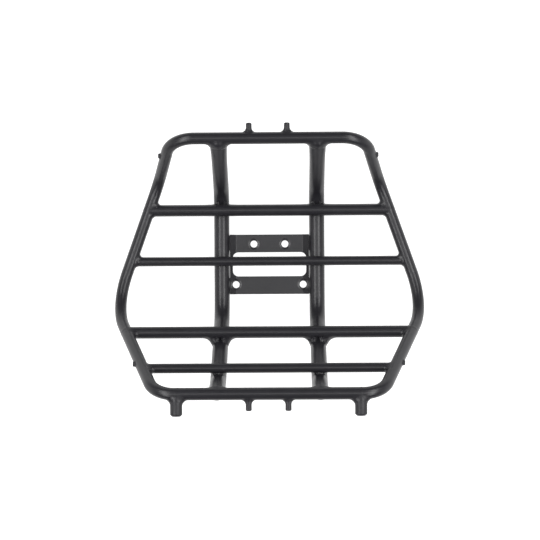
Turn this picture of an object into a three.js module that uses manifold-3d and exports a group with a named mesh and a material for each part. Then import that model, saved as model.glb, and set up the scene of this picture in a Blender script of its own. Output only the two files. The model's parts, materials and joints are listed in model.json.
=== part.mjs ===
// A welded tubular luggage rack: a tray of aluminium tube with both ends turned up.
// Millimetres, +Z up. The rack lies on the flat stretch of its two struts, X runs across it,
// +Y points to its low end and -Y to its tall end. It is symmetric about X = 0.

import * as THREE from 'three';
import { mergeVertices } from 'three/addons/utils/BufferGeometryUtils.js';
import Module from 'manifold-3d';

// ---- driving dimensions -------------------------------------------------------------------

const WELD_GAP = 0.3; // clearance left between two pieces that are welded together
const BEND_STEP = THREE.MathUtils.degToRad(9); // angle between two stations on a bend

const COAT = 0.2; // thickness of the powder coat, counted in with each tube
const LOOP_R = 8 + COAT; // 16 mm tube: perimeter and the two thick cross bars
const THIN_R = 6.35 + COAT; // 12.7 mm tube: the two thin cross bars
const STRUT_R = 10.65 + COAT; // 21.3 mm tube: the two struts under the bars
const LOOP_WALL = 1.6 + COAT;
const THIN_WALL = 1.5 + COAT;
const STRUT_WALL = 2 + COAT;

// Heights of tube axes above the surface that the rack lies on.
const STRUT_Z = STRUT_R;
const TRAY_Z = STRUT_Z + STRUT_R + LOOP_R + WELD_GAP;
const LOW_END_Z = 120.6;
const TALL_END_Z = 214.3;

// The perimeter's corner points on the +X side, and the radius of its axis at each.
const LOW_CORNER = new THREE.Vector3(132.5, 174.6, LOW_END_Z);
const SHOULDER = new THREE.Vector3(156.1, 118.75, TRAY_Z);
const WIDEST = new THREE.Vector3(218.6, -56.85, TRAY_Z);
const TALL_CORNER = new THREE.Vector3(148.7, -166.15, TALL_END_Z);
const LOW_CORNER_BEND = 39;
const SHOULDER_BEND = 45;
const WIDEST_BEND = 75;
const TALL_CORNER_BEND = 36;
const HOOP_JOINT_Y = 46; // where the two halves of the perimeter are butt-welded

// Cross bars, from the low end to the tall end.
const BAR_1_Y = 79.65;
const BAR_2_Y = 7.55;
const BAR_3_Y = -90.85;
const BAR_4_Y = -135.8;
const BAR_2_Z = STRUT_Z + STRUT_R + THIN_R + WELD_GAP;
const BAR_END_INSET = 1; // a bar's tube stops this far short of the perimeter's axis

// Struts, seen from the side: flat under the tray, one bend up to the low end, two to the tall one.
const STRUT_X = 67.8;
const STRUT_LOW_BEND_Y = 100.75;
const STRUT_TALL_BEND_Y = -69.75;
const STRUT_TALL_SLOPE = Math.tan(THREE.MathUtils.degToRad(60.5));
const STRUT_TIP_BEND_Y = -153.75;
const STRUT_LOW_BEND = 40;
const STRUT_TALL_BEND = 50;
const STRUT_END_INSET = 6.5; // a strut's tube stops this far short of the end bar's axis

// Mounting plate between the struts: flat, folded up at both sides, spot-faced round its bolts.
const PLATE_T = 5;
const PLATE_Y = [-39.6, 45.8];
const WINDOW_Y = [-14, 20.4];
const WINDOW_HALF_X = 52.9;
const WINDOW_CORNER = 8;
const PLATE_CORNER = 3;
const FOLD_X = 47.5; // where the plate's top turns up towards the strut
const FOLD_ANGLE = THREE.MathUtils.degToRad(30);
const SLIT_Y = [-16, 23]; // between its two weld seams the plate stands clear of the strut
const SLIT_WIDTH = 0.4;
const HOLE_R = 5;
const SPOT_FACE_R = 8;
const SPOT_FACE_DEPTH = 0.5;
const PLATE_CUT_Z = [-1, 20]; // cuts through the plate run past it, above and below
const NARROW_HOLES = { halfX: 22.2, y: 32.25 };
const WIDE_HOLES = { halfX: 48, y: -25.75 };

// Turned pieces welded to the perimeter.
const LIGHT_BOSS_HALF_X = 25.9;
const LIGHT_BOSS_R = 4;
const LIGHT_BOSS_LOW_FACE_Y = 195.35;
const LIGHT_BOSS_TALL_FACE_Y = -188.6;
const LIGHT_BOSS_TAP_R = 2.1; // core of an M5 thread
const LIGHT_BOSS_TAP_DEPTH = 10;
const CORNER_POST_X = 120.5;
const CORNER_POST_R = 8;
const CORNER_POST_FACE_Y = -195.35;
const CORNER_POST_TAP_R = 3.4; // core of an M8 thread
const CORNER_POST_TAP_DEPTH = 16;
const END_CHAMFER_SHARE = 0.2; // of the piece's radius
const SIDE_BOSS_R = 3.5;
const SIDE_BOSS_LENGTH = 2.6; // beyond the perimeter's tube
const SIDE_BOSS_TAP_R = 2.1;
const SIDE_BOSS_TAP_DEPTH = 5;
const SIDE_BOSS_LOW_Y = 153.5;
const SIDE_BOSS_TALL_Y = -130.3;

// Facets round each kind of section.
const TUBE_SIDES = 16;
const BORE_SIDES = 8;
const TURNED_SIDES = 16;
const CORNER_FACETS = 4;

const POWDER_COAT = new THREE.MeshStandardMaterial({ color: 0x17181a, roughness: 0.5, metalness: 0.1 });

// ---- joining and cutting ------------------------------------------------------------------

const wasm = await Module();
wasm.setup();

function toSolid(geometry) {
  const bare = geometry.index ? geometry.toNonIndexed() : geometry.clone();
  bare.deleteAttribute('normal');
  bare.deleteAttribute('uv');
  const merged = mergeVertices(bare, 1e-4);
  return new wasm.Manifold(new wasm.Mesh({
    numProp: 3,
    vertProperties: new Float32Array(merged.attributes.position.array),
    triVerts: new Uint32Array(merged.index.array),
  }));
}

function toGeometry(solid) {
  const mesh = solid.getMesh();
  const geometry = new THREE.BufferGeometry();
  geometry.setAttribute('position', new THREE.BufferAttribute(new Float32Array(mesh.vertProperties), 3));
  geometry.setIndex(new THREE.BufferAttribute(new Uint32Array(mesh.triVerts), 1));
  const flat = geometry.toNonIndexed();
  flat.computeVertexNormals();
  return flat;
}

// ---- bent tubes ---------------------------------------------------------------------------

// A tube's axis as a list of stations: its two ends, and a few on each bend.
class BentAxis extends THREE.Curve {
  constructor(corners, bends) {
    super();
    this.stations = bentStations(corners, bends);
  }

  at(u) {
    return this.stations[Math.round(u * (this.stations.length - 1))];
  }

  getPointAt(u) {
    return this.at(u).point.clone();
  }

  getTangentAt(u) {
    return this.at(u).tangent.clone();
  }
}

function bentStations(corners, bends) {
  const last = corners.length - 1;
  const along = (i) => corners[i + 1].clone().sub(corners[i]).normalize();
  const stations = [{ point: corners[0].clone(), tangent: along(0) }];
  for (let i = 1; i < last; i += 1) {
    stations.push(...arcStations(corners[i], along(i - 1), along(i), bends[i - 1]));
  }
  stations.push({ point: corners[last].clone(), tangent: along(last - 1) });
  return stations;
}

function arcStations(corner, before, after, radius) {
  const turn = before.angleTo(after);
  const steps = Math.max(2, Math.round(turn / BEND_STEP));
  const inward = after.clone().addScaledVector(before, -before.dot(after)).normalize();
  const start = corner.clone().addScaledVector(before, -radius * Math.tan(turn / 2));
  const centre = start.clone().addScaledVector(inward, radius);
  const stations = [];
  for (let i = 0; i <= steps; i += 1) {
    const angle = turn * i / steps;
    stations.push({
      point: centre.clone()
        .addScaledVector(inward, -radius * Math.cos(angle))
        .addScaledVector(before, radius * Math.sin(angle)),
      tangent: before.clone().multiplyScalar(Math.cos(angle)).addScaledVector(inward, Math.sin(angle)),
    });
  }
  return stations;
}

function circlePoints(radius, sides) {
  return Array.from({ length: sides }, (_, i) => {
    const angle = 2 * Math.PI * i / sides;
    return new THREE.Vector2(radius * Math.cos(angle), radius * Math.sin(angle));
  });
}

// A tube along an axis; with no bore it is a rod.
function tube(axis, radius, boreRadius = 0) {
  const section = new THREE.Shape(circlePoints(radius, TUBE_SIDES));
  if (boreRadius > 0) {
    section.holes.push(new THREE.Path(circlePoints(boreRadius, BORE_SIDES)));
  }
  return new THREE.ExtrudeGeometry(section, {
    steps: axis.stations.length - 1,
    extrudePath: axis,
  });
}

const mirrored = (v) => new THREE.Vector3(-v.x, v.y, v.z);

// The point of the perimeter's straight runs, on the +X side, at a place along the rack.
function perimeterAt(y) {
  const corners = [LOW_CORNER, SHOULDER, WIDEST, TALL_CORNER];
  const i = corners.findIndex((corner, n) => n > 0 && y >= corner.y);
  const [from, to] = [corners[i - 1], corners[i]];
  return from.clone().lerp(to, (from.y - y) / (from.y - to.y));
}

// ---- perimeter ----------------------------------------------------------------------------

function hoopAxis(corners, bends, jointGapSide) {
  const joint = perimeterAt(HOOP_JOINT_Y + jointGapSide * WELD_GAP / 2);
  const right = [joint, ...corners];
  const left = right.map(mirrored).reverse();
  return new BentAxis([...right, ...left], [...bends, ...bends.slice().reverse()]);
}

const lowHoopAxis = hoopAxis([SHOULDER, LOW_CORNER], [SHOULDER_BEND, LOW_CORNER_BEND], 1);
const tallHoopAxis = hoopAxis([WIDEST, TALL_CORNER], [WIDEST_BEND, TALL_CORNER_BEND], -1);

// The space that the perimeter takes up, with the weld gap round it.
const lowHoopSpace = toSolid(tube(lowHoopAxis, LOOP_R + WELD_GAP));
const tallHoopSpace = toSolid(tube(tallHoopAxis, LOOP_R + WELD_GAP));

function coped(geometry, ...spaces) {
  return toGeometry(spaces.reduce((solid, space) => solid.subtract(space), toSolid(geometry)));
}

// ---- cross bars and struts ----------------------------------------------------------------

// A straight bar across the rack, its ends cut to the sides of the perimeter.
function crossBar(y, z, radius, wall) {
  const side = perimeterAt(y);
  const end = new THREE.Vector3(side.x - BAR_END_INSET, y, z ?? side.z);
  const axis = new BentAxis([end, mirrored(end)], []);
  return coped(tube(axis, radius, radius - wall), lowHoopSpace, tallHoopSpace);
}

function strutAxis(x) {
  const tipBendZ = STRUT_Z + STRUT_TALL_SLOPE * (STRUT_TALL_BEND_Y - STRUT_TIP_BEND_Y);
  const corners = [
    new THREE.Vector3(x, LOW_CORNER.y, LOW_END_Z),
    new THREE.Vector3(x, STRUT_LOW_BEND_Y, STRUT_Z),
    new THREE.Vector3(x, STRUT_TALL_BEND_Y, STRUT_Z),
    new THREE.Vector3(x, STRUT_TIP_BEND_Y, tipBendZ),
    new THREE.Vector3(x, TALL_CORNER.y, TALL_END_Z),
  ];
  pullBack(corners[0], corners[1]);
  pullBack(corners[4], corners[3]);
  return new BentAxis(corners, [STRUT_LOW_BEND, STRUT_TALL_BEND, STRUT_TALL_BEND]);
}

function pullBack(end, previous) {
  const inward = previous.clone().sub(end).normalize();
  end.addScaledVector(inward, STRUT_END_INSET);
}

function strut(x) {
  return coped(tube(strutAxis(x), STRUT_R, STRUT_R - STRUT_WALL), lowHoopSpace, tallHoopSpace);
}

// ---- mounting plate -----------------------------------------------------------------------

function roundedRectangle(path, halfX, yLow, yHigh, corner) {
  path.moveTo(-halfX + corner, yLow);
  path.lineTo(halfX - corner, yLow);
  path.absarc(halfX - corner, yLow + corner, corner, -Math.PI / 2, 0);
  path.lineTo(halfX, yHigh - corner);
  path.absarc(halfX - corner, yHigh - corner, corner, 0, Math.PI / 2);
  path.lineTo(-halfX + corner, yHigh);
  path.absarc(-halfX + corner, yHigh - corner, corner, Math.PI / 2, Math.PI);
  path.lineTo(-halfX, yLow + corner);
  path.absarc(-halfX + corner, yLow + corner, corner, Math.PI, 3 * Math.PI / 2);
  return path;
}

function boltHoles() {
  return [NARROW_HOLES, WIDE_HOLES].flatMap(({ halfX, y }) => [[-halfX, y], [halfX, y]]);
}

function upright(radius, [zLow, zHigh], x, y) {
  const cylinder = new THREE.CylinderGeometry(radius, radius, zHigh - zLow, TURNED_SIDES);
  return toSolid(cylinder.rotateX(Math.PI / 2).translate(x, y, (zLow + zHigh) / 2));
}

// The plate seen along Y: flat, with both edges folded up towards the struts.
function plateSection(halfX) {
  const slope = Math.tan(FOLD_ANGLE);
  const foldUnder = FOLD_X + PLATE_T * Math.tan(FOLD_ANGLE / 2);
  const right = [
    [foldUnder, 0],
    [halfX, (halfX - foldUnder) * slope],
    [halfX, PLATE_T + (halfX - FOLD_X) * slope],
    [FOLD_X, PLATE_T],
  ];
  const left = right.map(([x, z]) => [-x, z]).reverse();
  return new THREE.Shape([...right, ...left].map(([x, z]) => new THREE.Vector2(x, z)));
}

// The plate seen from above: rounded corners, and a window.
function plateOutline(halfX) {
  const outline = roundedRectangle(new THREE.Shape(), halfX, ...PLATE_Y, PLATE_CORNER);
  outline.holes.push(roundedRectangle(new THREE.Path(), WINDOW_HALF_X, ...WINDOW_Y, WINDOW_CORNER));
  return outline;
}

function slit(side, halfX) {
  const [yLow, yHigh] = SLIT_Y;
  const [zLow, zHigh] = PLATE_CUT_Z;
  const box = new THREE.BoxGeometry(2 * SLIT_WIDTH, yHigh - yLow, zHigh - zLow);
  return toSolid(box.translate(side * halfX, (yLow + yHigh) / 2, (zLow + zHigh) / 2));
}

function mountingPlate() {
  const halfX = STRUT_X - STRUT_R - WELD_GAP;
  const [zLow, zHigh] = PLATE_CUT_Z;
  const sheet = new THREE.ExtrudeGeometry(plateSection(halfX), {
    depth: PLATE_Y[1] - PLATE_Y[0],
    bevelEnabled: false,
  });
  const outline = new THREE.ExtrudeGeometry(plateOutline(halfX), {
    depth: zHigh - zLow,
    bevelEnabled: false,
    curveSegments: CORNER_FACETS,
  });
  let plate = toSolid(sheet.rotateX(Math.PI / 2).translate(0, PLATE_Y[1], 0));
  plate = plate.intersect(toSolid(outline.translate(0, 0, zLow)));
  for (const [x, y] of boltHoles()) {
    plate = plate.subtract(upright(HOLE_R, PLATE_CUT_Z, x, y));
    plate = plate.subtract(upright(SPOT_FACE_R, [PLATE_T - SPOT_FACE_DEPTH, zHigh], x, y));
  }
  return toGeometry(plate.subtract(slit(-1, halfX)).subtract(slit(1, halfX)));
}

// ---- turned bosses and posts --------------------------------------------------------------

// A turned piece with a blind tapped hole in its end face. It stands on the origin along +Y.
function turned(radius, length, tapRadius, tapDepth) {
  const chamfer = END_CHAMFER_SHARE * radius;
  const profile = [
    [0, 0],
    [radius, 0],
    [radius, length - chamfer],
    [radius - chamfer, length],
    [tapRadius, length],
    [tapRadius, length - tapDepth],
    [0, length - tapDepth - tapRadius / 2],
  ].map(([r, y]) => new THREE.Vector2(r, y));
  return new THREE.LatheGeometry(profile, TURNED_SIDES);
}

// A turned piece along Y, from the axis of an end bar out to its end face.
function endPiece(bar, x, faceY, radius, tapRadius, tapDepth, space) {
  const piece = turned(radius, Math.abs(faceY - bar.y), tapRadius, tapDepth);
  if (faceY < 0) {
    piece.rotateZ(Math.PI);
  }
  return coped(piece.translate(x, bar.y, bar.z), space);
}

function lightBoss(bar, x, faceY, space) {
  return endPiece(bar, x, faceY, LIGHT_BOSS_R, LIGHT_BOSS_TAP_R, LIGHT_BOSS_TAP_DEPTH, space);
}

function cornerPost(x) {
  return endPiece(TALL_CORNER, x, CORNER_POST_FACE_Y,
    CORNER_POST_R, CORNER_POST_TAP_R, CORNER_POST_TAP_DEPTH, tallHoopSpace);
}

// A short boss on the outer side of the perimeter, square to its tube and level.
function sideBoss(y, side, space) {
  const root = perimeterAt(y);
  const boss = turned(SIDE_BOSS_R, LOOP_R + SIDE_BOSS_LENGTH, SIDE_BOSS_TAP_R, SIDE_BOSS_TAP_DEPTH);
  boss.rotateZ(-side * Math.PI / 2).translate(side * root.x, y, root.z);
  return coped(boss, space);
}

// ---- assembly -----------------------------------------------------------------------------

const group = new THREE.Group();

function addPiece(name, geometry) {
  const mesh = new THREE.Mesh(geometry, POWDER_COAT);
  mesh.name = name;
  group.add(mesh);
}

addPiece('perimeter_hoop_low_end', tube(lowHoopAxis, LOOP_R, LOOP_R - LOOP_WALL));
addPiece('perimeter_hoop_tall_end', tube(tallHoopAxis, LOOP_R, LOOP_R - LOOP_WALL));
addPiece('cross_bar_1', crossBar(BAR_1_Y, TRAY_Z, LOOP_R, LOOP_WALL));
addPiece('cross_bar_2', crossBar(BAR_2_Y, BAR_2_Z, THIN_R, THIN_WALL));
addPiece('cross_bar_3', crossBar(BAR_3_Y, null, LOOP_R, LOOP_WALL));
addPiece('cross_bar_4', crossBar(BAR_4_Y, null, THIN_R, THIN_WALL));
addPiece('mounting_plate', mountingPlate());
for (const [label, side] of [['left', -1], ['right', 1]]) {
  const bossX = side * LIGHT_BOSS_HALF_X;
  addPiece(`strut_${label}`, strut(side * STRUT_X));
  addPiece(`light_boss_low_end_${label}`, lightBoss(LOW_CORNER, bossX, LIGHT_BOSS_LOW_FACE_Y, lowHoopSpace));
  addPiece(`light_boss_tall_end_${label}`,
    lightBoss(TALL_CORNER, bossX, LIGHT_BOSS_TALL_FACE_Y, tallHoopSpace));
  addPiece(`corner_post_${label}`, cornerPost(side * CORNER_POST_X));
  addPiece(`side_boss_low_end_${label}`, sideBoss(SIDE_BOSS_LOW_Y, side, lowHoopSpace));
  addPiece(`side_boss_tall_end_${label}`, sideBoss(SIDE_BOSS_TALL_Y, side, tallHoopSpace));
}

export default group;
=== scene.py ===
"""The looks of a welded tubular luggage rack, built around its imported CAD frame.

Metres, +Z up, the frame's own axes: X runs across the rack, +Y to its low end, -Y to its tall end.
Each tube and turned piece is swept again at a fine step, and its surface is raised along the seams
where it is welded to its neighbours, so that the two halves of every weld meet.
"""

import json
import math

import bmesh
import bpy
import numpy as np
from mathutils import Euler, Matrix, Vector

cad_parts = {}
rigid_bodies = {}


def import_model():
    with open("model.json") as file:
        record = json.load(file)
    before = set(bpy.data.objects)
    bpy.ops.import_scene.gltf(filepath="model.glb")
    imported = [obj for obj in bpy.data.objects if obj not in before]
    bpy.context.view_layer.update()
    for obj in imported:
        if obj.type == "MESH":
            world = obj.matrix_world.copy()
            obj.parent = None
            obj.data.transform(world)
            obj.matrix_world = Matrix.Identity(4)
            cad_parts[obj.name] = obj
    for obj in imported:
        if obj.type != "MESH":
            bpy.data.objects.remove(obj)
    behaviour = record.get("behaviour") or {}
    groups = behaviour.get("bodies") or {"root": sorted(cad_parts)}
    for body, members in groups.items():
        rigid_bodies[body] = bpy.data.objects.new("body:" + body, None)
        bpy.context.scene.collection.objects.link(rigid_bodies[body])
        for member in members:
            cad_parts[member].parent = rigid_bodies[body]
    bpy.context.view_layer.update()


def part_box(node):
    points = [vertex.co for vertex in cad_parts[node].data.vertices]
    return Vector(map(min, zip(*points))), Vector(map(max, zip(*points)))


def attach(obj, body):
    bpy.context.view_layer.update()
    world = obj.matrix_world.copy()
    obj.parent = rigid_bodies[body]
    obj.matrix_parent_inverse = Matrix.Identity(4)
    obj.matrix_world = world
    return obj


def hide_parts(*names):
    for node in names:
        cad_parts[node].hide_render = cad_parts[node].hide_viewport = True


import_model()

MM = 0.001
ACROSS = np.array([1.0, 0.0, 0.0])
UP = np.array([0.0, 0.0, 1.0])

# ---- driving dimensions that the frame's boxes don't give -----------------------------------

# The corners of the perimeter's right half, on its tube's axis, and the radii of its bends.
TRAY_Z = (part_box("cross_bar_1")[0].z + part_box("cross_bar_1")[1].z) / 2 / MM
LOW_CORNER = np.array([132.5, 174.6, 120.6]) * MM
SHOULDER = np.array([156.1, 118.75, TRAY_Z]) * MM
WIDEST = np.array([218.6, -56.85, TRAY_Z]) * MM
TALL_CORNER = np.array([148.7, -166.15, 214.3]) * MM
LOW_CORNER_BEND = 39 * MM
SHOULDER_BEND = 45 * MM
WIDEST_BEND = 75 * MM
TALL_CORNER_BEND = 36 * MM
HOOP_JOINT_Y = 46 * MM  # where the two hoops meet

STRUT_LOW_BEND_Y = 100.75 * MM
STRUT_TALL_BEND_Y = -69.75 * MM
STRUT_TALL_SLOPE = math.tan(math.radians(60.5))
STRUT_TIP_BEND_Y = -153.75 * MM
STRUT_LOW_BEND = 40 * MM
STRUT_TALL_BEND = 50 * MM
STRUT_END_INSET = 6.5 * MM  # a strut ends this far past the axis of the tube it runs into
FLATTENED_BY = 1.5 * MM  # a strut's low end is pressed this much wider at each side
FLATTENED_REACH = 50 * MM
FLATTENING = np.array([1.0, -0.8, -0.8])  # wider along X, and thinner across it

# ---- how finely a surface is divided ---------------------------------------------------------

TUBE_SIDES = 72
TURNED_SIDES = 48
FINE_STEP = 0.8 * MM  # along a tube, near a weld
BEND_STEP = 2.5 * MM  # along a bend
STRAIGHT_STEP = 14 * MM
NEARLY = 0.95  # a ring is due after this share of a step
DOME_STEP = 6  # degrees between the rings of a half-round end
SHARP_ANGLE = math.radians(50)
SLACK = 1e-7
TINY = 1e-9
WELD_REACH = 18 * MM  # how far from a joint's centre its weld can be, beyond its leg


def unit(vector):
    return vector / np.linalg.norm(vector)


# ---- paths -----------------------------------------------------------------------------------


def bent_path(corners, bends, step=FINE_STEP):
    """Points about one step apart on straight runs joined by arcs, and which of them are on an arc."""
    pieces = []
    here = corners[0]
    for before, corner, after, radius in zip(corners, corners[1:], corners[2:], bends):
        into, out = unit(corner - before), unit(after - corner)
        turn = math.acos(np.clip(into @ out, -1, 1))
        reach = radius * math.tan(turn / 2)
        start = corner - into * reach
        inward = unit(out - into * (into @ out))
        centre = start + inward * radius
        pieces.append((straight(here, start, step), False))
        count = max(4, round(radius * turn / step))
        angles = np.linspace(0, turn, count + 1)[:, None]
        arc = centre + radius * (into * np.sin(angles) - inward * np.cos(angles))
        pieces.append((arc[:-1], True))
        here = corner + out * reach
    pieces.append((straight(here, corners[-1], step), False))
    points = np.vstack([p for p, _ in pieces] + [corners[-1][None]])
    on_arc = np.concatenate([np.full(len(p), bent) for p, bent in pieces] + [[False]])
    return points, on_arc


def straight(start, end, step):
    """Points from start up to, but not at, the end."""
    count = max(1, round(np.linalg.norm(end - start) / step))
    return start + (end - start) * np.linspace(0, 1, count + 1)[:-1, None]


def distance_to(path, points):
    """Each point's distance to a path, and the unit vector that leads away from it."""
    a, b = path[:-1], path[1:]
    ab = b - a
    rel = points[:, None, :] - a[None]
    t = np.clip((rel * ab).sum(2) / (ab * ab).sum(1), 0, 1)
    gap = rel - t[..., None] * ab
    lengths = np.sqrt((gap * gap).sum(2))
    nearest = lengths.argmin(1)
    rows = np.arange(len(points))
    best = lengths[rows, nearest]
    return best, gap[rows, nearest] / np.maximum(best, TINY)[:, None]


def mirrored(point):
    """The same place on the rack's other side."""
    return point * np.array([-1, 1, 1])


# ---- welds -----------------------------------------------------------------------------------


RIPPLE = 0.045  # height of a bead's ripples, as a share of its leg
RIPPLE_PITCH = 2.4 * MM
RIPPLE_RADIUS = 10 * MM
RIPPLE_DRIFT = 3  # how much the ripples' spacing follows the leg's wandering
WANDER = ((0.05, 2, 1.0), (0.04, 5, 2.1))  # of a leg: share of it, waves round the joint, seed's part
LEAN_REACH = 4 * MM  # over how long a stretch a leaning weld's flanks fade out
WELD_CROWN = 0.1  # share of the fillet that is left where two surfaces run into each other
LEG_MARGIN = 1.4  # a rippled leg is never longer than this many times its nominal length
HIGHEST_LIFT = 0.66  # the most that a wall is raised, as a share of the longest leg
BISECTIONS = 12
ALL_WELD = 0.6 * MM  # a wall that is raised this much is all weld


class Weld:
    """A fillet between two members. It runs round the axis, which is the joint's middle direction.

    Its leg is longer at the flanks; with a lean, only at those on the +Y or -Y side.
    """

    def __init__(self, first, second, centre, axis, flank, leg, flank_leg=None, lean=0, seed=0):
        self.members = (first, second)
        self.centre = centre
        self.axis = unit(axis)
        self.flank = unit(flank - self.axis * (flank @ self.axis))
        self.side = np.cross(self.axis, self.flank)
        self.leg = leg
        self.flank_leg = flank_leg or leg
        self.longest = max(self.leg, self.flank_leg)
        self.reach = WELD_REACH + self.longest
        self.lean = lean
        self.seed = seed

    def leg_at(self, points):
        """The fillet's leg, longer at the flanks, with the ripples of a bead."""
        rel = points - self.centre
        angle = np.arctan2(rel @ self.side, rel @ self.flank)
        share = np.cos(angle) ** 2 * np.clip(1 + self.lean * rel[:, 1] / LEAN_REACH, 0, 1)
        leg = self.leg + (self.flank_leg - self.leg) * share
        ripples = round(2 * math.pi * RIPPLE_RADIUS / RIPPLE_PITCH)
        wander = sum(size * np.sin(waves * angle + part * self.seed) for size, waves, part in WANDER)
        return leg * (1 + RIPPLE * np.sin(ripples * angle + RIPPLE_DRIFT * wander * ripples) + wander)


def raise_to_weld(points, normals, other, weld):
    """How far each point of a member's wall moves out along its normal to lie on the weld."""
    lift = np.zeros(len(points))
    path = other.path[np.linalg.norm(other.path - weld.centre, axis=1) < weld.reach + weld.longest]
    other_radius = other.radius_near(weld.centre)
    close = distance_to(path, points)[0] - other_radius < LEG_MARGIN * weld.longest
    if close.any():
        lift[close] = solve_lift(points[close], normals[close], other_radius, path, weld)
    return lift


def solve_lift(points, normals, other_radius, path, weld):
    """Bisects for the height above its own member at which each point's normal meets the weld."""

    def outside(lift):
        moved = points + normals * lift[:, None]
        b, away = distance_to(path, moved)
        b = b - other_radius
        leg = weld.leg_at(moved) * np.clip(1 - (normals * away).sum(1), WELD_CROWN, 1)
        return leg * (1 - np.hypot(np.clip(1 - lift / leg, 0, None), np.clip(1 - b / leg, 0, None)))

    low = np.zeros(len(points))
    high = np.full(len(points), HIGHEST_LIFT * weld.longest)
    buried = outside(high) < 0
    touched = outside(low) < -SLACK
    for _ in range(BISECTIONS):
        middle = (low + high) / 2
        inside = outside(middle) < 0
        low = np.where(inside, middle, low)
        high = np.where(inside, high, middle)
    return np.where(touched, np.where(buried, high, (low + high) / 2), 0)


# ---- members ---------------------------------------------------------------------------------


class Member:
    """A round piece swept along a path: its rings, and the wall that welds may raise."""

    def __init__(self, path, on_arc, radius, sides, round_ended=False):
        self.path = path
        self.on_arc = on_arc
        self.radius = radius
        self.sides = sides
        self.round_ended = round_ended
        self.flattened = np.zeros(len(path))  # how much wider each place of the path has been pressed
        self.welds = []

    def keep_stations(self):
        """Indices of the path's points that get a ring: close together near welds and on bends."""
        kept = [0]
        run = np.concatenate([[0], np.cumsum(np.linalg.norm(np.diff(self.path, axis=0), axis=1))])
        for i in range(1, len(self.path) - 1):
            close = any(np.linalg.norm(weld.centre - self.path[i]) < weld.reach for weld in self.welds)
            step = FINE_STEP if close else BEND_STEP if self.on_arc[i] else STRAIGHT_STEP
            turning = self.on_arc[i] != self.on_arc[i - 1]
            if run[i] - run[kept[-1]] >= NEARLY * step or turning:
                kept.append(i)
        return kept + [len(self.path) - 1]

    def radius_near(self, point):
        """The radius across the place of the path that is nearest to a point."""
        return self.radius + self.flattened[np.linalg.norm(self.path - point, axis=1).argmin()]

    def rings(self):
        """Ring centres, their two in-plane unit vectors, and their radii."""
        kept = self.keep_stations()
        centres = self.path[kept]
        tangents = np.gradient(self.path, axis=0)[kept]
        tangents /= np.linalg.norm(tangents, axis=1)[:, None]
        u = np.cross(tangents[0], UP)
        across = []
        for t in tangents:
            u = unit(u - t * (u @ t))
            across.append(u)
        across = np.array(across)
        radii = np.full(len(kept), self.radius)
        if self.round_ended:
            for end in (0, -1):
                centres, tangents, across, radii = domed(centres, tangents, across, radii, self.radius, end)
        return centres, across, np.cross(tangents, across), np.repeat(radii[:, None], self.sides, 1)

    def wall(self):
        """The swept wall as a grid of points, with the welds raised, and how much each is weld."""
        centres, u, v, radii = self.rings()
        angles = np.linspace(0, 2 * math.pi, self.sides, endpoint=False)
        normals = u[:, None] * np.cos(angles)[None, :, None] + v[:, None] * np.sin(angles)[None, :, None]
        points = centres[:, None] + normals * radii[..., None]
        if self.flattened.any():
            places = np.linalg.norm(centres[:, None] - self.path[None], axis=2).argmin(1)
            points += normals * FLATTENING * self.flattened[places][:, None, None]
        lift = np.zeros(radii.shape)
        full = radii >= self.radius - SLACK
        for weld in self.welds:
            other = weld.members[1] if weld.members[0] is self else weld.members[0]
            near = full & (np.linalg.norm(points - weld.centre, axis=2) < weld.reach)
            if near.any():
                raised = raise_to_weld(points[near], normals[near], other, weld)
                lift[near] = np.maximum(lift[near], raised)
        return points + normals * lift[..., None], np.clip(lift / ALL_WELD, 0, 1)


def domed(centres, tangents, across, radii, radius, end):
    """Adds the rings of a half-round end."""
    out = tangents[end] * (1 if end else -1)
    rise = np.radians(np.arange(DOME_STEP, 90, DOME_STEP))
    extra = centres[end] + out * radius * np.sin(rise)[:, None]
    same_tangent = np.repeat(tangents[end][None], len(rise), 0)
    same_across = np.repeat(across[end][None], len(rise), 0)
    rings = (extra, same_tangent, same_across, radius * np.cos(rise))
    stacks = zip((centres, tangents, across, radii), rings)
    if end:
        return tuple(np.concatenate([old, new]) for old, new in stacks)
    return tuple(np.concatenate([new[::-1], old]) for old, new in stacks)


def grid_object(name, points, weld_share, slot):
    """A piece made of rings of points, closed by a fan at each end."""
    rings, sides, _ = points.shape
    ring = np.arange(sides)
    following = np.roll(ring, -1)
    faces = []
    for i in range(rings - 1):
        low, high = i * sides, (i + 1) * sides
        faces += np.stack([low + ring, low + following, high + following, high + ring], 1).tolist()
    first_hub, last_hub, last = rings * sides, rings * sides + 1, (rings - 1) * sides
    faces += np.stack([following, ring, np.full(sides, first_hub)], 1).tolist()
    faces += np.stack([last + ring, last + following, np.full(sides, last_hub)], 1).tolist()
    vertices = np.vstack([points.reshape(-1, 3), points[0].mean(0), points[-1].mean(0)])
    share = np.concatenate([weld_share.reshape(-1), [0, 0]])
    mesh = bpy.data.meshes.new(name)
    mesh.from_pydata(vertices.tolist(), [], faces)
    attribute = mesh.attributes.new("weld", "FLOAT", "POINT")
    attribute.data.foreach_set("value", share.astype(np.float32))
    mesh.shade_smooth()
    mesh.set_sharp_from_angle(angle=SHARP_ANGLE)
    return place(bpy.data.objects.new(name, mesh), slot)


def place(piece, slot):
    """Puts a piece into the scene on the rack's body, with its material slot and its coat."""
    bpy.context.scene.collection.objects.link(piece)
    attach(piece, "root")
    piece.data.materials.append(COATS[slot])
    return piece


# ---- materials -------------------------------------------------------------------------------


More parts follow.
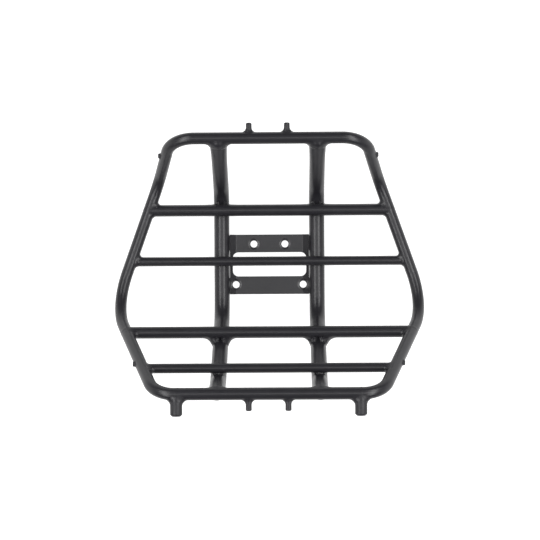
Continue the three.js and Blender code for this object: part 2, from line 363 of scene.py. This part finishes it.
GLOSS = 0.36
TONE = (0.88, 1.14)  # the darkest and the lightest patches, as shares of the base colour
SHEEN = (-0.02, 0.03)  # the glossiest and the dullest patches, against the coat's roughness
NOISE_RANGE = (0.3, 0.7)  # noise below and above this makes no more difference to tone
TONE_NOISE = (38, 4.0, 0.6)  # of each noise: waves per metre, detail, roughness
SHEEN_NOISE = (140, 3.0, 0.5)
GRAIN_NOISE = (2600, 2.0, 0.6)
PEEL_NOISE = (620, 2.0, 0.45)
GRAIN_STRENGTH = 0.05
GRAIN_HEIGHT = 0.02 * MM
PEEL_HEIGHT = 0.06 * MM
BEAD_PEEL = 2.2  # how much coarser the coat lies on a weld


def powder_coat(name, base, roughness, peel):
    """Satin black powder coat: orange peel that is coarser on welds, fine grain and an uneven sheen."""
    material = bpy.data.materials.new(name)
    material.use_nodes = True
    nodes, links = material.node_tree.nodes, material.node_tree.links
    shader = nodes["Principled BSDF"]
    shader.inputs["Specular IOR Level"].default_value = GLOSS
    coordinates = nodes.new("ShaderNodeTexCoord")

    def noise(scale, detail, rough):
        node = nodes.new("ShaderNodeTexNoise")
        node.inputs["Scale"].default_value = scale
        node.inputs["Detail"].default_value = detail
        node.inputs["Roughness"].default_value = rough
        links.new(coordinates.outputs["Object"], node.inputs["Vector"])
        return node.outputs["Fac"]

    tone = nodes.new("ShaderNodeValToRGB")
    for element, position, share in zip(tone.color_ramp.elements, NOISE_RANGE, TONE):
        element.position = position
        element.color = (*[c * share for c in base], 1)
    links.new(noise(*TONE_NOISE), tone.inputs["Fac"])
    links.new(tone.outputs["Color"], shader.inputs["Base Color"])

    sheen = nodes.new("ShaderNodeMapRange")
    sheen.inputs["From Min"].default_value, sheen.inputs["From Max"].default_value = NOISE_RANGE
    sheen.inputs["To Min"].default_value = roughness + SHEEN[0]
    sheen.inputs["To Max"].default_value = roughness + SHEEN[1]
    links.new(noise(*SHEEN_NOISE), sheen.inputs["Value"])
    links.new(sheen.outputs["Result"], shader.inputs["Roughness"])

    weld = nodes.new("ShaderNodeAttribute")
    weld.attribute_name = "weld"
    bead = nodes.new("ShaderNodeMapRange")
    bead.inputs["To Min"].default_value = 1.0
    bead.inputs["To Max"].default_value = BEAD_PEEL
    links.new(weld.outputs["Fac"], bead.inputs["Value"])

    grain = nodes.new("ShaderNodeBump")
    grain.inputs["Strength"].default_value = GRAIN_STRENGTH
    grain.inputs["Distance"].default_value = GRAIN_HEIGHT
    links.new(noise(*GRAIN_NOISE), grain.inputs["Height"])
    height = nodes.new("ShaderNodeMath")
    height.operation = "MULTIPLY"
    links.new(noise(*PEEL_NOISE), height.inputs[0])
    links.new(bead.outputs["Result"], height.inputs[1])
    skin = nodes.new("ShaderNodeBump")
    skin.inputs["Strength"].default_value = peel
    skin.inputs["Distance"].default_value = PEEL_HEIGHT
    links.new(height.outputs["Value"], skin.inputs["Height"])
    links.new(grain.outputs["Normal"], skin.inputs["Normal"])
    links.new(skin.outputs["Normal"], shader.inputs["Normal"])
    return material


COATS = {  # each with its base colour, its roughness and the strength of its orange peel
    "powder_coated_tube": powder_coat("powder_coated_tube", (0.0112, 0.0108, 0.0132), 0.32, 0.04),
    "powder_coated_plate": powder_coat("powder_coated_plate", (0.0100, 0.0097, 0.0118), 0.30, 0.10),
    "powder_coated_boss": powder_coat("powder_coated_boss", (0.0112, 0.0108, 0.0132), 0.48, 0.10),
}

# ---- the members and their places -------------------------------------------------------------


def box_centre(node):
    low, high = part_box(node)
    return np.array((low + high) / 2)


def box_size(node):
    low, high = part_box(node)
    return np.array(high - low)


def perimeter_at(y):
    """The point of the perimeter's right half, on one of its straight runs, at a place along Y."""
    corners = [LOW_CORNER, SHOULDER, WIDEST, TALL_CORNER]
    for start, end in zip(corners, corners[1:]):
        if end[1] <= y <= start[1]:
            return start + (end - start) * (start[1] - y) / (start[1] - end[1])
    raise ValueError("no straight run of the perimeter is at this place")


def hoop(corners, bends, radius):
    """One end of the perimeter, given the corners and bends of its right half."""
    right = [perimeter_at(HOOP_JOINT_Y), *corners]
    left = [mirrored(c) for c in reversed(right)]
    return Member(*bent_path(right + left, bends + bends[::-1]), radius, TUBE_SIDES)


def cross_bar(node):
    """A straight bar from the perimeter's axis on one side to its axis on the other."""
    centre = box_centre(node)
    end = perimeter_at(centre[1])
    start = np.array([-end[0], centre[1], centre[2]])
    stop = np.array([end[0], centre[1], centre[2]])
    return Member(*bent_path([start, stop], []), box_size(node)[1] / 2, TUBE_SIDES)


def strut(node):
    """A strut along the tray and up to both ends of the perimeter."""
    low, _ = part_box(node)
    radius = box_size(node)[0] / 2
    x, z = box_centre(node)[0], low.z + radius
    tip_z = z + STRUT_TALL_SLOPE * (STRUT_TALL_BEND_Y - STRUT_TIP_BEND_Y)
    corners = [
        np.array([x, LOW_CORNER[1], LOW_CORNER[2]]),
        np.array([x, STRUT_LOW_BEND_Y, z]),
        np.array([x, STRUT_TALL_BEND_Y, z]),
        np.array([x, STRUT_TIP_BEND_Y, tip_z]),
        np.array([x, TALL_CORNER[1], TALL_CORNER[2]]),
    ]
    corners[0] = corners[0] + unit(corners[1] - corners[0]) * STRUT_END_INSET
    corners[4] = corners[4] + unit(corners[3] - corners[4]) * STRUT_END_INSET
    bends = [STRUT_LOW_BEND, STRUT_TALL_BEND, STRUT_TALL_BEND]
    member = Member(*bent_path(corners, bends), radius, TUBE_SIDES, round_ended=True)
    from_low_end = np.linalg.norm(member.path - member.path[0], axis=1)
    member.flattened = FLATTENED_BY * np.clip(1 - from_low_end / FLATTENED_REACH, 0, None) ** 2
    return member


SEED_STEP = 1.7  # from one weld to the next
all_welds = []


def add_weld(first, second, centre, axis, flank, leg, flank_leg=None, lean=0):
    """Tells both members about the weld between them."""
    seed = SEED_STEP * len(all_welds)
    weld = Weld(first, second, centre, axis, flank, leg, flank_leg, lean, seed)
    for welded in (all_welds, first.welds, second.welds):
        welded.append(weld)


LOOP_RADIUS = box_size("cross_bar_1")[1] / 2
low_hoop = hoop([SHOULDER, LOW_CORNER], [SHOULDER_BEND, LOW_CORNER_BEND], LOOP_RADIUS)
tall_hoop = hoop([WIDEST, TALL_CORNER], [WIDEST_BEND, TALL_CORNER_BEND], LOOP_RADIUS)
bars = {f"cross_bar_{i}": cross_bar(f"cross_bar_{i}") for i in (1, 2, 3, 4)}
struts = {node: strut(node) for node in ("strut_left", "strut_right")}

BAR_END_LEG = 6.0 * MM
CROSSING_LEGS = {  # each bar's weld to a strut: along the strut, at the strut's flanks, and its lean
    "cross_bar_1": (0.9 * MM, 20.0 * MM, 1),
    "cross_bar_2": (0.9 * MM, 5.0 * MM, 0),
    "cross_bar_3": (0.9 * MM, 18.0 * MM, 0),
    "cross_bar_4": (0.9 * MM, 4.2 * MM, 0),
}
STRUT_END_LEG = 8.0 * MM
STRUT_END_FLANK_LEG = 10.5 * MM
STRUT_END_WELD_INSET = 3 * MM  # from a strut's last ring to the middle of its weld

for name, bar in bars.items():
    hoop_here = low_hoop if bar.path[0][1] > HOOP_JOINT_Y else tall_hoop
    for end in (bar.path[0], bar.path[-1]):
        add_weld(bar, hoop_here, end - ACROSS * math.copysign(bar.radius, end[0]), ACROSS, UP, BAR_END_LEG)
    for member in struts.values():
        gaps, away = distance_to(bar.path, member.path)
        nearest = gaps.argmin()
        contact = member.path[nearest] - away[nearest] * member.radius
        add_weld(bar, member, contact, away[nearest], ACROSS, *CROSSING_LEGS[name])

for member in struts.values():
    for index, hoop_here in ((0, low_hoop), (-1, tall_hoop)):
        end = member.path[index]
        inward = unit(member.path[1 if index == 0 else -2] - end)
        joint = end + inward * STRUT_END_WELD_INSET
        add_weld(member, hoop_here, joint, inward, ACROSS, STRUT_END_LEG, STRUT_END_FLANK_LEG)

# ---- turned bosses and posts -------------------------------------------------------------------

CHAMFER_SHARE = 0.3  # of a turned piece's radius
LIP_LAND = 0.3 * MM  # flat face left between the chamfer and the thread
FACE_ROUND = 0.15 * MM
TURNED_STEP = 0.5 * MM
HOLE_LIP = 0.6  # how much wider than its core a hole is at the face, in pitches of its thread
LIP_ROUND = (0.15, 0.1)  # across the face and down the hole, in pitches
THREAD_START = 0.35  # how far down the hole the thread starts, in pitches
THREAD_DEPTH = 0.55  # in pitches
THREAD_RINGS = 6  # for each turn
THREAD_FADE = 0.8  # turns over which the thread grows from the hole's wide mouth
MOUTH_DEPTH = 1.3  # of that mouth, in depths of the thread
DRILL_POINT = 0.6  # depth of the cone at a hole's bottom, in radii of its core
DRILL_TIP = 0.1 * MM
SIDEWAYS = 4 * MM  # a boss this far to one side of the tube's axis points along X


class Turned(Member):
    """A turned piece on the perimeter: a wall, a chamfered end face and a tapped blind hole."""

    def __init__(self, root, tip, radius, core, depth, pitch):
        path, on_arc = bent_path([root, tip], [], TURNED_STEP)
        super().__init__(path, on_arc, radius, TURNED_SIDES)
        self.core, self.depth, self.pitch = core, depth, pitch
        self.lip = core + HOLE_LIP * pitch
        self.chamfer = min(CHAMFER_SHARE * radius, radius - self.lip - LIP_LAND)

    def wall(self):
        """The wall up to its chamfer, then the end face, the threaded hole and the hole's bottom."""
        points, share = super().wall()
        out = unit(self.path[-1] - self.path[0])
        tip = self.path[-1]
        keep = ((points.mean(1) - tip) @ out) < -self.chamfer - FACE_ROUND
        points, share = points[keep], share[keep]
        spokes = points[0] - points[0].mean(0)
        spokes = spokes - (spokes @ out)[:, None] * out
        spokes /= np.linalg.norm(spokes, axis=1)[:, None]
        rings = [tip + out * y + spokes * r for r, y in self.face_profile()]
        rings += [tip - out * y + spokes * r[:, None] for r, y in self.thread()]
        bottom = self.depth + self.core * DRILL_POINT
        rings.append(tip - out * bottom + spokes * DRILL_TIP)
        rings = np.array(rings)
        return np.concatenate([points, rings]), np.concatenate([share, np.zeros(rings.shape[:2])])

    def face_profile(self):
        """Radius and height of each ring over the chamfer and across the face."""
        r, chamfer, lip = self.radius, self.chamfer, self.lip
        return [
            (r, -chamfer - FACE_ROUND),
            (r - 0.25 * FACE_ROUND, -chamfer),
            (r - chamfer, -0.2 * FACE_ROUND),
            (r - chamfer - FACE_ROUND, 0.0),
            (lip + LIP_ROUND[0] * self.pitch, 0.0),
            (lip, -LIP_ROUND[1] * self.pitch),
        ]

    def thread(self):
        """Radii and depth of each ring down the hole, along a helical thread that fades in."""
        turns = np.arange(0, self.depth / self.pitch, 1 / THREAD_RINGS)
        turn_share = np.linspace(0, 1, self.sides, endpoint=False)
        for turn in turns:
            phase = (turn + turn_share) % 1
            ridge = np.abs(2 * phase - 1)
            fade = np.clip(turn / THREAD_FADE, 0, 1)
            groove = THREAD_DEPTH * self.pitch * (ridge * fade + (1 - fade) * MOUTH_DEPTH)
            yield self.core + groove, THREAD_START * self.pitch + turn * self.pitch


def turned_piece(node, on_axis, hoop_here, core, depth, pitch, leg):
    """A boss from the tube's axis to the CAD boss's end face."""
    low, high = (np.array(corner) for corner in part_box(node))
    centre = (low + high) / 2
    out = np.zeros(3)
    i = 0 if abs(centre[0] - on_axis[0]) > SIDEWAYS else 1
    out[i] = math.copysign(1.0, centre[i])
    root, tip = centre.copy(), centre.copy()
    root[i] = on_axis[i]
    tip[i] = (high if out[i] > 0 else low)[i]
    piece = Turned(root, tip, (high - low)[2] / 2, core, depth, pitch)
    add_weld(piece, hoop_here, root + out * hoop_here.radius, out, np.roll(out, 1), leg)
    return piece


LIGHT_BOSS = dict(core=2.1 * MM, depth=10 * MM, pitch=0.8 * MM, leg=6.0 * MM)
POST = dict(core=3.4 * MM, depth=16 * MM, pitch=1.25 * MM, leg=7.5 * MM)
SIDE_BOSS = dict(core=2.1 * MM, depth=5 * MM, pitch=0.8 * MM, leg=2.4 * MM)

turned = {}
for side in ("left", "right"):
    for end, hoop_here, corner in (("low", low_hoop, LOW_CORNER), ("tall", tall_hoop, TALL_CORNER)):
        node = f"light_boss_{end}_end_{side}"
        bar_point = np.array([box_centre(node)[0], corner[1], corner[2]])
        turned[node] = turned_piece(node, bar_point, hoop_here, **LIGHT_BOSS)
        node = f"side_boss_{end}_end_{side}"
        point = perimeter_at(box_centre(node)[1])
        point[0] = math.copysign(point[0], box_centre(node)[0])
        turned[node] = turned_piece(node, point, hoop_here, **SIDE_BOSS)
    node = f"corner_post_{side}"
    bar_point = np.array([box_centre(node)[0], TALL_CORNER[1], TALL_CORNER[2]])
    turned[node] = turned_piece(node, bar_point, tall_hoop, **POST)

# ---- making the round pieces -------------------------------------------------------------------

hoops = {"perimeter_hoop_low_end": low_hoop, "perimeter_hoop_tall_end": tall_hoop}
for node, member in {**hoops, **bars, **struts, **turned}.items():
    slot_name = "powder_coated_boss" if node in turned else "powder_coated_tube"
    piece = grid_object(f"{node}_surface", *member.wall(), slot_name)
    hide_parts(node)

# ---- mounting plate ----------------------------------------------------------------------------

PLATE_T = 5 * MM
PLATE_CORNER = 1 * MM
WINDOW_HALF_X = 52.5 * MM
WINDOW_Y = (-14 * MM, 20.4 * MM)
WINDOW_CORNER = 8 * MM
FOLD_X = 47.5 * MM
FOLD_SLOPE = math.tan(math.radians(30))
FOLD_ROUND = 0.5 * MM  # how far to each side of its line the fold is rounded
SLIT_Y = (-16 * MM, 23 * MM)
SLIT_WIDTH = 0.05 * MM
EDGE_ROUND = 0.3 * MM
HOLE_R = 5 * MM
SPOT_FACE_R = 8 * MM
SPOT_FACE_DEPTH = 0.5 * MM
HOLE_CHAMFER = 0.35 * MM
SPOT_FLOOR_R = 6.2 * MM  # the spot face is dished: it rises from here to its edge
SPOT_LIP = 0.05 * MM  # how far above the sheet the dished part is carried
HOLE_SIDES = 64
EDGE_RINGS = 5  # over a rounded edge
FOLD_CUTS = 7  # across a fold
ARC_POINTS = 13  # on a quarter circle
PLATE_SHARP_ANGLE = math.radians(24)
FLATNESS = 1e-4
BOLT_HOLES = [(side * x * MM, y * MM) for x, y in ((22.2, 32.25), (48, -25.75)) for side in (-1, 1)]


def corner_arc(x, y, radius, start):
    """A quarter circle about a point, anticlockwise from a number of right angles."""
    angles = (start + np.linspace(0, 1, ARC_POINTS)) * math.pi / 2
    return np.stack([x + radius * np.cos(angles), y + radius * np.sin(angles)], 1)


def rounded_rectangle(half_x, y_low, y_high, radius):
    """Its four corners, anticlockwise from the one on the right at the low end of Y."""
    x = half_x - radius
    return [corner_arc(x, y_low + radius, radius, 3), corner_arc(x, y_high - radius, radius, 0),
            corner_arc(-x, y_high - radius, radius, 1), corner_arc(-x, y_low + radius, radius, 2)]


def plate_outline(half_x):
    """The plate's outer edge from above, with the long notch beside each strut."""
    low_right, high_right, high_left, low_left = rounded_rectangle(half_x, *PLATE_EDGES_Y, PLATE_CORNER)
    inner = half_x - SLIT_WIDTH
    notch = np.array([(half_x, SLIT_Y[0]), (inner, SLIT_Y[0]), (inner, SLIT_Y[1]), (half_x, SLIT_Y[1])])
    return np.vstack([low_right, notch, high_right, high_left, notch[::-1] * (-1, 1), low_left])


def inset(loop, by):
    """A closed loop moved to its left by a distance."""
    ahead = np.roll(loop, -1, 0) - loop
    ahead /= np.linalg.norm(ahead, axis=1)[:, None]
    behind = np.roll(ahead, 1, 0)
    left = np.stack([-(ahead + behind)[:, 1], (ahead + behind)[:, 0]], 1)
    return loop + by * 2 * left / (left * left).sum(1)[:, None]


def rounded_wall(bm, loop):
    """The edge faces that stand on a loop, rounded above and below; returns its two end loops."""
    turns = np.radians(np.linspace(0, 90, EDGE_RINGS))
    rise = [EDGE_ROUND * (1 - math.sin(t)) for t in turns[::-1]]
    sides = [EDGE_ROUND * (1 - math.cos(t)) for t in turns[::-1]]
    levels = list(zip(sides, rise)) + [(s, PLATE_T - z) for s, z in zip(sides[::-1], rise[::-1])]
    rings = [[bm.verts.new((*xy, z)) for xy in inset(loop, by)] for by, z in levels]
    for lower, upper in zip(rings, rings[1:]):
        for i in range(len(loop)):
            j = (i + 1) % len(loop)
            bm.faces.new((lower[i], lower[j], upper[j], upper[i]))
    return rings[0], rings[-1]


def folded(x):
    """How far the plate's edge has been folded up at a distance from the middle."""
    past = np.clip((abs(x) - FOLD_X) / FOLD_ROUND, -1, None)
    return FOLD_SLOPE * FOLD_ROUND * ((past + 1) ** 2 / 4 if past < 1 else past)


def bolt_hole_cutter(x, y):
    """What is cut away for one bolt: a chamfered hole under a spot face."""
    seat, top = PLATE_T - SPOT_FACE_DEPTH, 3 * PLATE_T
    edge_r = SPOT_FACE_R + (SPOT_FACE_R - SPOT_FLOOR_R) * SPOT_LIP / SPOT_FACE_DEPTH
    profile = [
        (HOLE_R + HOLE_CHAMFER + MM, -MM),
        (HOLE_R, HOLE_CHAMFER),
        (HOLE_R, seat - HOLE_CHAMFER),
        (HOLE_R + HOLE_CHAMFER, seat),
        (SPOT_FLOOR_R, seat),
        (edge_r, PLATE_T + SPOT_LIP),
        (edge_r, top),
    ]
    angles = np.linspace(0, 2 * math.pi, HOLE_SIDES, endpoint=False)
    bm = bmesh.new()
    circle = [(math.cos(a), math.sin(a)) for a in angles]
    rings = [[bm.verts.new((x + r * c, y + r * s, z)) for c, s in circle] for r, z in profile]
    for lower, upper in zip(rings, rings[1:]):
        for i in range(HOLE_SIDES):
            j = (i + 1) % HOLE_SIDES
            bm.faces.new((lower[i], lower[j], upper[j], upper[i]))
    bm.faces.new(rings[0][::-1])
    bm.faces.new(rings[-1])
    mesh = bpy.data.meshes.new("bolt_hole_cutter")
    bm.to_mesh(mesh)
    bm.free()
    return bpy.data.objects.new("bolt_hole_cutter", mesh)


def plate_sheet(half_x):
    """The bent sheet with its window, before its bolt holes are cut."""
    bm = bmesh.new()
    window = np.vstack(rounded_rectangle(WINDOW_HALF_X, *WINDOW_Y, WINDOW_CORNER))[::-1]
    ends = [rounded_wall(bm, loop) for loop in (plate_outline(half_x), window)]
    for level in (0, 1):
        rims = [pair[level] for pair in ends]
        edges = [bm.edges.get((rim[i], rim[(i + 1) % len(rim)])) for rim in rims for i in range(len(rim))]
        bmesh.ops.triangle_fill(bm, use_beauty=True, edges=edges)
    for side in (-1, 1):
        for step in np.linspace(-1, 1, FOLD_CUTS):
            whole = bm.verts[:] + bm.edges[:] + bm.faces[:]
            middle = (side * (FOLD_X + step * FOLD_ROUND), 0, 0)
            bmesh.ops.bisect_plane(bm, geom=whole, plane_co=middle, plane_no=ACROSS)
    for vertex in bm.verts:
        vertex.co.z += folded(vertex.co.x)
    bmesh.ops.recalc_face_normals(bm, faces=bm.faces[:])
    mesh = bpy.data.meshes.new("mounting_plate_sheet")
    bm.to_mesh(mesh)
    bm.free()
    return bpy.data.objects.new("mounting_plate_sheet", mesh)


def cut(piece, cutters):
    """The piece's mesh with the cutters taken away."""
    scene_objects = bpy.context.scene.collection.objects
    scene_objects.link(piece)
    for cutter in cutters:
        scene_objects.link(cutter)
        modifier = piece.modifiers.new("bolt_hole", "BOOLEAN")
        modifier.operation = "DIFFERENCE"
        modifier.solver = "EXACT"
        modifier.object = cutter
    graph = bpy.context.evaluated_depsgraph_get()
    mesh = bpy.data.meshes.new_from_object(piece.evaluated_get(graph))
    for used in [piece, *cutters]:
        bpy.data.objects.remove(used)
    return mesh


FLAT_NORMALS_Z = (1.0, 0.0, math.cos(math.atan(FOLD_SLOPE)))  # faces that stay flat, folded ones too
plate_low, plate_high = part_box("mounting_plate")
PLATE_EDGES_Y = (plate_low.y, plate_high.y)
plate_mesh = cut(plate_sheet(plate_high.x), [bolt_hole_cutter(x, y) for x, y in BOLT_HOLES])
plate_mesh.name = "mounting_plate_surface"
plate_mesh.materials.clear()
plate_mesh.shade_smooth()
plate_mesh.set_sharp_from_angle(angle=PLATE_SHARP_ANGLE)
for face in plate_mesh.polygons:
    face.use_smooth = min(abs(abs(face.normal.z) - flat) for flat in FLAT_NORMALS_Z) > FLATNESS
plate = place(bpy.data.objects.new("mounting_plate_surface", plate_mesh), "powder_coated_plate")
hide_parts("mounting_plate")

# The seams between the plate's folded edges and the struts.
SEAM_R = 1.2 * MM
SEAM_Z = plate_high.z - 0.6 * MM
SEAM_END = 1 * MM  # a seam stops this far short of the strip's corner
SEAM_SIDES = 20
SEAM_RINGS = 6  # for each ripple
SEAM_RIPPLE = 0.10  # share of the seam's radius
SEAM_WANDER = 0.06
WANDER_RATE = 700  # radians per metre
SEAM_TIP = 0.05  # how blunt a seam's ends are
SEAM_TRAIL = 0.4 * MM  # how far a ripple's sides trail behind its crown


def seam(name, side, y_low, y_high):
    """A rippled bead that lies along the plate's edge."""
    y = np.arange(y_low, y_high, RIPPLE_PITCH / SEAM_RINGS)
    taper = np.sqrt(np.clip(np.minimum(y - y_low, y_high - y) / SEAM_R + SEAM_TIP, 0, 1))
    ripple = SEAM_RIPPLE * np.sin(2 * math.pi * y / RIPPLE_PITCH)
    radius = SEAM_R * taper * (1 + ripple + SEAM_WANDER * np.sin(WANDER_RATE * y))
    around = np.linspace(0, 2 * math.pi, SEAM_SIDES, endpoint=False)
    points = np.stack(np.broadcast_arrays(
        side * plate_high.x + radius[:, None] * np.cos(around),
        y[:, None] - SEAM_TRAIL * np.cos(around) ** 2,
        SEAM_Z + radius[:, None] * np.sin(around)), 2)
    return grid_object(name, points, np.ones(points.shape[:2]), "powder_coated_plate")


for label, side in (("left", -1), ("right", 1)):
    seam(f"plate_seam_low_end_{label}", side, SLIT_Y[1], PLATE_EDGES_Y[1] - SEAM_END)
    seam(f"plate_seam_tall_end_{label}", side, PLATE_EDGES_Y[0] + SEAM_END, SLIT_Y[0])

# ---- stage, light and camera -------------------------------------------------------------------


WHITE = (1, 1, 1, 1)
FLOOR_HALF = 6.0
FLOOR_GREY = (0.35, 0.35, 0.35, 1)
FLOOR_ROUGHNESS = 0.9
FLOOR_GLOW = 0.86
WORLD_STRENGTH = 0.16
SOFTBOXES = {  # each with its place, width, length and power in watts
    "softbox_left": ((-0.85, 0.0, 1.30), 0.42, 2.6, 24),
    "softbox_right": ((0.85, 0.0, 1.30), 0.42, 2.6, 27),
    "overhead": ((0.0, 0.0, 2.70), 0.6, 3.6, 19),
    "side_left": ((-1.3, 0.0, 0.30), 0.7, 1.2, 3),
    "side_right": ((1.3, 0.0, 0.30), 0.7, 1.2, 3),
}


def floor():
    """A white ground, lit mostly by its own glow, that still takes the rack's shadow."""
    mesh = bpy.data.meshes.new("floor")
    corners = [(x * FLOOR_HALF, y * FLOOR_HALF, 0) for x, y in ((-1, -1), (1, -1), (1, 1), (-1, 1))]
    mesh.from_pydata(corners, [], [(0, 1, 2, 3)])
    piece = bpy.data.objects.new("floor", mesh)
    bpy.context.scene.collection.objects.link(piece)
    material = bpy.data.materials.new("floor_white")
    material.use_nodes = True
    shader = material.node_tree.nodes["Principled BSDF"]
    shader.inputs["Base Color"].default_value = FLOOR_GREY
    shader.inputs["Roughness"].default_value = FLOOR_ROUGHNESS
    shader.inputs["Emission Color"].default_value = WHITE
    shader.inputs["Emission Strength"].default_value = FLOOR_GLOW
    piece.data.materials.append(material)


def softbox(name, place_at, width, length, power):
    """A panel that faces the rack, with its length along Y, or along X if it is overhead."""
    light = bpy.data.lights.new(name, "AREA")
    light.shape = "RECTANGLE"
    light.size, light.size_y = length, width
    light.energy = power
    lamp = bpy.data.objects.new(name, light)
    lamp.location = place_at
    lamp.rotation_euler = (-Vector(place_at)).to_track_quat("-Z", "Y").to_euler()
    bpy.context.scene.collection.objects.link(lamp)


def world(strength):
    surroundings = bpy.data.worlds.new("surroundings")
    surroundings.use_nodes = True
    background = surroundings.node_tree.nodes["Background"]
    background.inputs["Color"].default_value = WHITE
    background.inputs["Strength"].default_value = strength
    bpy.context.scene.world = surroundings


CAMERA_HEIGHT = 2.31065
CAMERA_Y = -0.00525
CAMERA_ASIDE = 0.0247  # the camera stands this far to the right of what it looks at
LOOKS_AT = Vector((0.0007, CAMERA_Y, 0.0107))
CAMERA_ROLL = math.radians(-0.35)
LENS = 107.33  # millimetres, like the sensor's width
SENSOR = 36.0

floor()
world(WORLD_STRENGTH)
for box_name, settings in SOFTBOXES.items():
    softbox(box_name, *settings)

camera_data = bpy.data.cameras.new("camera")
camera_data.lens = LENS
camera_data.sensor_width = SENSOR
camera = bpy.data.objects.new("camera", camera_data)
camera.location = (LOOKS_AT.x + CAMERA_ASIDE, CAMERA_Y, CAMERA_HEIGHT)
lean = math.atan2(CAMERA_ASIDE, CAMERA_HEIGHT - LOOKS_AT.z)
camera.rotation_euler = Euler((0.0, lean, CAMERA_ROLL), "ZYX")
bpy.context.scene.collection.objects.link(camera)
bpy.context.scene.camera = camera
bpy.context.scene.view_settings.view_transform = "Standard"
